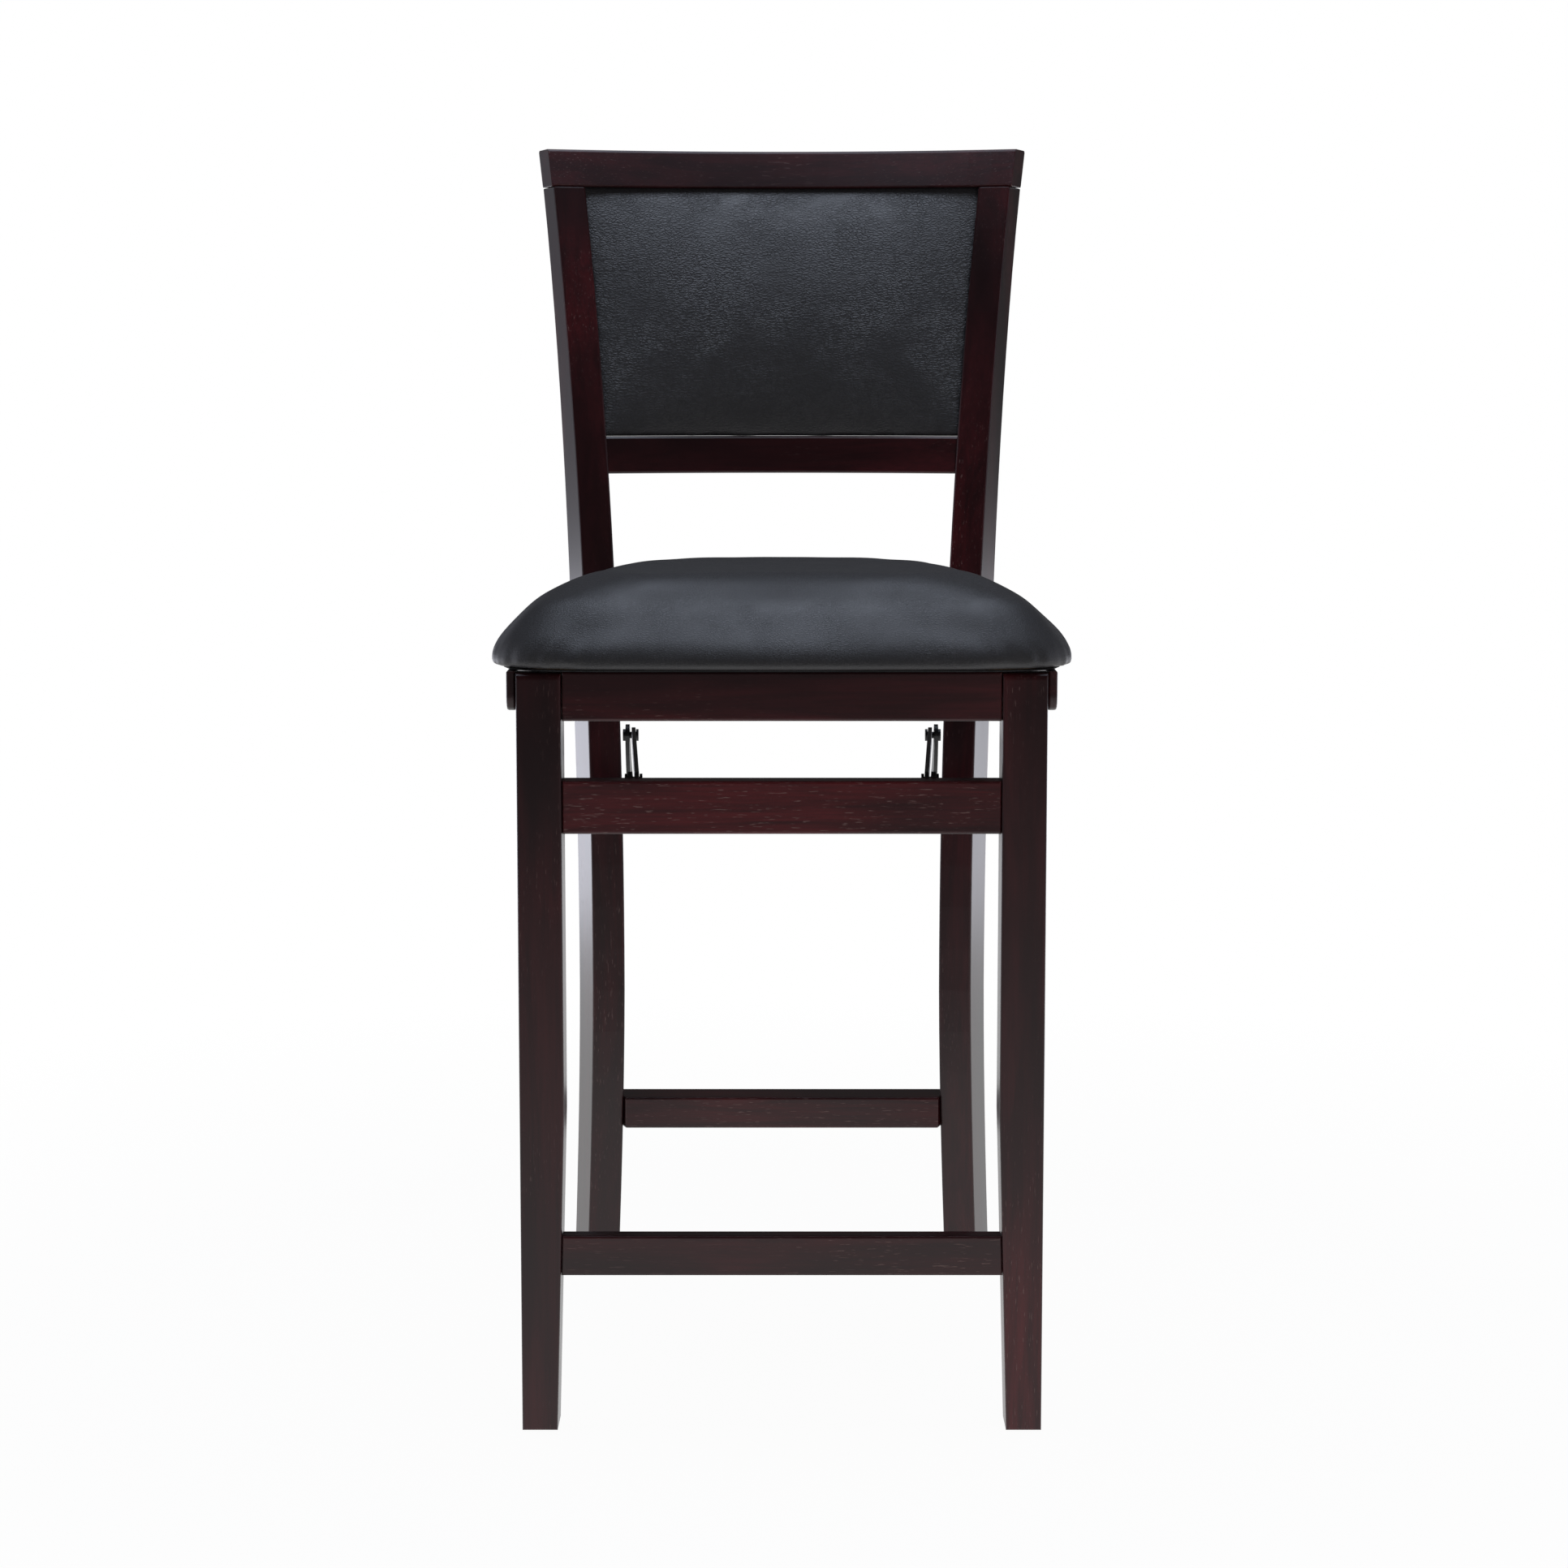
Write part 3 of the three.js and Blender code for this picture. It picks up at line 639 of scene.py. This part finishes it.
def swell(piece, held, most):
    """Fills a cushion like a bag under pressure.

    held says which points stay, and most is the farthest that a point may move.
    """
    sizes = bpy.context.scene.stool_cushions
    choose(piece)
    start = [vertex.co.copy() for vertex in piece.data.vertices]
    group = piece.vertex_groups.new(name="held")
    group.add([vertex.index for vertex in piece.data.vertices if held(vertex.co)], 1.0, "REPLACE")
    cloth = piece.modifiers.new("Cloth", "CLOTH")
    cloth.settings.use_pressure = True
    cloth.settings.uniform_pressure_force = sizes.pressure
    cloth.settings.effector_weights.gravity = 0
    cloth.settings.vertex_group_mass = group.name
    cloth.point_cache.frame_start = 1
    cloth.point_cache.frame_end = sizes.swell_frames
    for number in range(1, sizes.swell_frames + 1):
        bpy.context.scene.frame_set(number)
    shaped = piece.evaluated_get(bpy.context.evaluated_depsgraph_get())
    ends = [vertex.co.copy() for vertex in shaped.data.vertices]
    piece.modifiers.remove(cloth)
    bpy.context.scene.frame_set(1)
    for vertex, before, after in zip(piece.data.vertices, start, ends):
        move = after - before
        if move.length > most:
            move.length = most
        vertex.co = before + move
    piece.vertex_groups.clear()


def blend_in(value, start, end):
    """Rises smoothly from 0 at start to 1 at end."""
    share = min(1.0, max(0.0, (value - start) / (end - start)))
    return share * share * (3.0 - 2.0 * share)


def bell(value, middle, reach):
    """1 at the middle, and a bell's fall to both sides of it."""
    return math.exp(-(((value - middle) / reach) ** 2))


def square_out(piece, node):
    """Leans a cushion's sides in, squares its top and turns its cover sharply under the board.

    Heights are shares of the cushion's own height.
    """
    waist, waist_reach = 0.58, 0.22
    turn_height, turn_share = 0.16, 0.5
    shoulder_start, shoulder_end = 0.55, 0.86
    top_start, top_ease = 0.93, 0.85
    sizes = bpy.context.scene.stool_cushions
    low, high = corners(node)
    middle = (low + high) / 2
    for vertex in piece.data.vertices:
        height = (vertex.co.z - low.z) / (high.z - low.z)
        out = Vector((vertex.co.x - middle.x, vertex.co.y - middle.y, 0.0))
        lean = sizes.lean * bell(height, waist, waist_reach)
        under = turn_share * sizes.lean * (1.0 - blend_in(height, 0.0, turn_height))
        rise = sizes.crown * blend_in(height, shoulder_start, shoulder_end)
        rise *= 1.0 - top_ease * blend_in(height, top_start, 1.0)
        vertex.co += out.normalized() * (under - lean) + Vector((0.0, 0.0, rise))


def smooth_out(piece, repeats):
    """Relaxes and refines a cushion's skin."""
    choose(piece)
    relax = piece.modifiers.new("Relax", "SMOOTH")
    relax.factor = 0.5
    relax.iterations = repeats
    bpy.ops.object.modifier_apply(modifier=relax.name)
    finer = piece.modifiers.new("Finer", "SUBSURF")
    finer.levels = 1
    finer.render_levels = 1
    bpy.ops.object.modifier_apply(modifier=finer.name)
    bpy.ops.object.shade_smooth()


def fit(piece, low, high):
    """Stretches a cushion to the given corners."""
    places = [vertex.co for vertex in piece.data.vertices]
    for axis in range(3):
        least = min(place[axis] for place in places)
        most = max(place[axis] for place in places)
        scale = (high[axis] - low[axis]) / (most - least)
        for place in places:
            place[axis] = low[axis] + (place[axis] - least) * scale


def add_puckers(piece, node):
    """Small gathers where the cover is pulled under the board, deepest at the front corners."""
    pucker_height = 0.42
    corner_angle, corner_reach = math.radians(138), 0.16
    coarse_folds, fine_folds, fine_start = 93, 151, 1.3
    coarse_share, fine_share = 0.6, 0.4
    plain_depth, fade_start, underside = 0.10, 0.12, 0.9
    depth = bpy.context.scene.stool_cushions.pucker
    low, high = corners(node)
    middle = (low + high) / 2
    reach = (high.z - low.z) * pucker_height
    mesh = piece.data
    normals = [vertex.normal.copy() for vertex in mesh.vertices]
    for vertex, normal in zip(mesh.vertices, normals):
        height = (vertex.co.z - low.z) / reach
        if not 0.0 <= height <= 1.0 or abs(normal.z) > underside:
            continue
        spoke = math.atan2(vertex.co.x - middle.x, vertex.co.y - middle.y)
        corner = bell(abs(spoke), corner_angle, corner_reach)
        folds = math.sin(spoke * coarse_folds) * coarse_share
        folds += math.sin(spoke * fine_folds + fine_start) * fine_share
        fade = math.sin(math.pi * min(1.0, height + fade_start)) * (1.0 - height)
        vertex.co += normal * folds * fade * depth * (plain_depth + corner)


class STOOL_OT_wood(bpy.types.Operator):
    """Stains the wooden parts, each with its fibres along its length"""

    bl_idname = "stool.wood"
    bl_label = "Stain the wood"

    def execute(self, context):
        for stems, axis, name in (
            (CROSSWISE_WOOD, ACROSS, "espresso_crosswise"),
            (LENGTHWISE_WOOD, ALONG, "espresso_lengthwise"),
            (UPRIGHT_WOOD, UP, "espresso_upright"),
        ):
            paint(parts_named(stems), wood_finish(name, axis))
        return {"FINISHED"}


class STOOL_OT_hardware(bpy.types.Operator):
    """Finishes the steel, plywood, cloth and nylon parts"""

    bl_idname = "stool.hardware"
    bl_label = "Finish the small parts"

    def execute(self, context):
        paint(parts_named(STEEL_PARTS), enamel_finish())
        paint(parts_named(PLY_PARTS), ply_finish())
        paint(parts_named(NYLON_PARTS), nylon_finish())
        paint(parts_named(CLOTH_PARTS), cloth_finish())
        return {"FINISHED"}


class STOOL_OT_cushion(bpy.types.Operator):
    """Makes the padded seat cushion, filled under pressure and gathered below"""

    bl_idname = "stool.cushion"
    bl_label = "Seat cushion"

    def execute(self, context):
        sizes = context.scene.stool_cushions
        tones = context.scene.stool_finishes
        low, high = corners("seat_cushion")
        tacked = low.z + (high.z - low.z) * sizes.skirt
        piece = start_cushion("seat_cushion", "seat_cushion_cover", sizes.seat_voxel)
        square_out(piece, "seat_cushion")
        swell(piece, lambda place: place.z < tacked, sizes.seat_swell)
        smooth_out(piece, sizes.seat_relax)
        low_corner = (-sizes.seat_half, low.y, low.z)
        high_corner = (sizes.seat_half, high.y, high.z + sizes.seat_proud)
        fit(piece, low_corner, high_corner)
        add_puckers(piece, "seat_cushion")
        paint([piece], leather_finish("seat_leatherette", tones.seat_grain, tones.seat_crease))
        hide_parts("seat_cushion")
        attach(piece, body_of_node("seat_cushion"))
        return {"FINISHED"}


class STOOL_OT_back_pad(bpy.types.Operator):
    """Makes the bowed back pad and covers the panel behind it"""

    bl_idname = "stool.back_pad"
    bl_label = "Back pad"

    def execute(self, context):
        sizes = context.scene.stool_cushions
        tones = context.scene.stool_finishes
        low, high = corners("back_pad")

        def tacked(place):
            return (
                place.z < low.z + sizes.pad_border
                or place.z > high.z - sizes.pad_border
                or abs(place.x) > high.x - sizes.pad_sides
            )

        piece = start_cushion("back_pad", "back_pad_cover", sizes.pad_voxel)
        swell(piece, tacked, sizes.pad_swell)
        smooth_out(piece, sizes.pad_relax)
        proud = Vector((0.0, sizes.pad_proud, 0.0))
        fit(piece, low - proud, high - proud + Vector((0.0, 0.0, sizes.pad_rise)))
        leather = leather_finish("back_leatherette", tones.pad_grain, tones.pad_crease)
        paint([piece, *parts_named(("back_panel",))], leather)
        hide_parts("back_pad")
        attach(piece, body_of_node("back_pad"))
        return {"FINISHED"}


class STOOL_OT_studio(bpy.types.Operator):
    """Sets up the pale floor, the soft light and the camera"""

    bl_idname = "stool.studio"
    bl_label = "Studio"

    def execute(self, context):
        studio = context.scene.stool_studio
        self.make_floor(studio)
        self.make_world(studio)
        self.make_lamps(studio)
        self.make_camera(studio)
        context.scene.view_settings.view_transform = "Standard"
        return {"FINISHED"}

    def make_floor(self, studio):
        """A floor that the camera sees white and that the wood mirrors only near the stool."""
        bpy.ops.object.select_all(action="DESELECT")
        bpy.ops.mesh.primitive_plane_add(size=studio.floor_size, location=(0, 0, 0))
        floor = bpy.context.object
        floor.name = "floor"
        finish = Finish("pale_floor")
        finish.set(Base_Color=studio.floor_tone, Roughness=0.9, Specular_IOR_Level=0.1)
        glow = finish.node("ShaderNodeEmission", values={"Color": NEUTRAL, "Strength": 1.0})
        # A ramp reads values from 0 to 1, so metres are scaled to fit.
        away_scale, back_scale, back_start = 0.2, 0.3, 0.5
        length = {"operation": "LENGTH"}
        away = finish.node("ShaderNodeVectorMath", length, {0: finish.place}, "Value") * away_scale
        back = finish.node("ShaderNodeSeparateXYZ", values={0: finish.place}, output="Y")
        front = back_start - back * back_scale
        dark = finish.ramp(away, 0.19, 0.58) * finish.ramp(front, 0.45, 0.75)
        # How much of the glow each kind of ray sees, close by and where the floor is dark.
        seen_near, seen_rise = 0.965, 0.035
        mirrored_near, mirrored_drop = 0.95, 0.93
        lit_near, lit_drop = 0.9, 0.8
        clear = seen_near + finish.ramp(away, 0.12, 0.30) * seen_rise
        share = (finish.ray("Camera") + finish.ray("Transmission")) * clear
        share = share + finish.ray("Glossy") * (mirrored_near - dark * mirrored_drop)
        share = share + finish.ray("Diffuse") * (lit_near - dark * lit_drop)
        mixed = finish.node("ShaderNodeMixShader", values={0: share, 1: finish.surface, 2: glow})
        finish.fill(finish.output.inputs["Surface"], mixed)
        floor.data.materials.append(finish.material)

    def make_world(self, studio):
        """A dim even room, which the camera itself sees as white."""
        world = bpy.data.worlds.new("studio")
        bpy.context.scene.world = world
        nodes = Nodes(world)
        room, white = (
            nodes.node("ShaderNodeBackground", values={"Color": NEUTRAL, "Strength": strength})
            for strength in (studio.world_light, 1.0)
        )
        sky = nodes.node("ShaderNodeMixShader", values={0: nodes.ray("Camera"), 1: room, 2: white})
        nodes.node("ShaderNodeOutputWorld", values={"Surface": sky})

    def make_lamps(self, studio):
        """A key lamp above, a fill in front, and three lamps on either side."""
        stool, low, high = (0, 0.05, 0.5), (0, 0.15, 0.3), (0, 0.15, 0.8)
        self.make_lamp("key_lamp", (0.05, -0.1, 2.8), (1.8, 1.3), studio.key_light, stool, SKY)
        front = self.make_lamp(
            "front_lamp", (1.2, -2.6, 1.0), (1.6, 1.6), studio.front_light, stool, WARM
        )
        front.visible_glossy = False
        # The legs mirror the low and high lamps as a bright strip, dimmer above on the right.
        for side, level in ((-1, studio.left_light), (1, studio.right_light)):
            for name, place, size, power, aim in (
                ("low_lamp", (1.35, 1.55, 0.24), (1.5, 0.46), 5.0 * level, low),
                ("high_lamp", (1.35, 1.55, 0.95), (1.5, 0.9), 0.85 * level ** 4, high),
                ("side_lamp", (2.1, 0.0, 0.8), (1.6, 1.5), 9.0 * level, stool),
            ):
                place = (side * place[0], *place[1:])
                self.make_lamp(name, place, size, power, aim, COOL)

    def make_lamp(self, name, place, size, power, aim, colour):
        data = bpy.data.lights.new(name, "AREA")
        data.shape = "RECTANGLE"
        data.size, data.size_y = size
        data.energy = power
        data.color = colour
        lamp = bpy.data.objects.new(name, data)
        bpy.context.scene.collection.objects.link(lamp)
        lamp.visible_camera = False
        lamp.location = place
        lamp.rotation_euler = (Vector(aim) - Vector(place)).to_track_quat("-Z", "Y").to_euler()
        return lamp

    def make_camera(self, studio):
        data = bpy.data.cameras.new("camera")
        data.sensor_fit = "HORIZONTAL"
        data.sensor_width = studio.sensor
        data.lens = studio.focal_pixels / studio.picture_pixels * studio.sensor
        data.shift_x = 0.5 - studio.middle_pixels / studio.picture_pixels
        camera = bpy.data.objects.new("camera", data)
        bpy.context.scene.collection.objects.link(camera)
        camera.location = (0, -studio.distance, studio.height)
        camera.rotation_euler = (math.pi / 2 - studio.pitch, 0, 0)
        bpy.context.scene.camera = camera


GROUPS = {
    "stool_finishes": StoolFinishes,
    "stool_cushions": StoolCushions,
    "stool_studio": StoolStudio,
}
STEPS = (
    STOOL_OT_wood,
    STOOL_OT_hardware,
    STOOL_OT_cushion,
    STOOL_OT_back_pad,
    STOOL_OT_studio,
)


class STOOL_PT_panel(bpy.types.Panel):
    """Lists the steps that dress the stool"""

    bl_label = "Folding counter stool"
    bl_idname = "STOOL_PT_panel"
    bl_space_type = "VIEW_3D"
    bl_region_type = "UI"
    bl_category = "Stool"

    def draw(self, context):
        for step in STEPS:
            self.layout.operator(step.bl_idname)
        for group in GROUPS:
            values = getattr(context.scene, group)
            box = self.layout.box()
            for name in values.bl_rna.properties.keys():
                if name not in {"rna_type", "name"}:
                    box.prop(values, name)


def register():
    for name, group in GROUPS.items():
        bpy.utils.register_class(group)
        setattr(bpy.types.Scene, name, PointerProperty(type=group))
    for step in (*STEPS, STOOL_PT_panel):
        bpy.utils.register_class(step)


def unregister():
    for step in (STOOL_PT_panel, *reversed(STEPS)):
        bpy.utils.unregister_class(step)
    for name, group in reversed(GROUPS.items()):
        delattr(bpy.types.Scene, name)
        bpy.utils.unregister_class(group)


def main():
    register()
    bpy.ops.stool.wood()
    bpy.ops.stool.hardware()
    bpy.ops.stool.cushion()
    bpy.ops.stool.back_pad()
    bpy.ops.stool.studio()


if __name__ == "__main__":
    main()
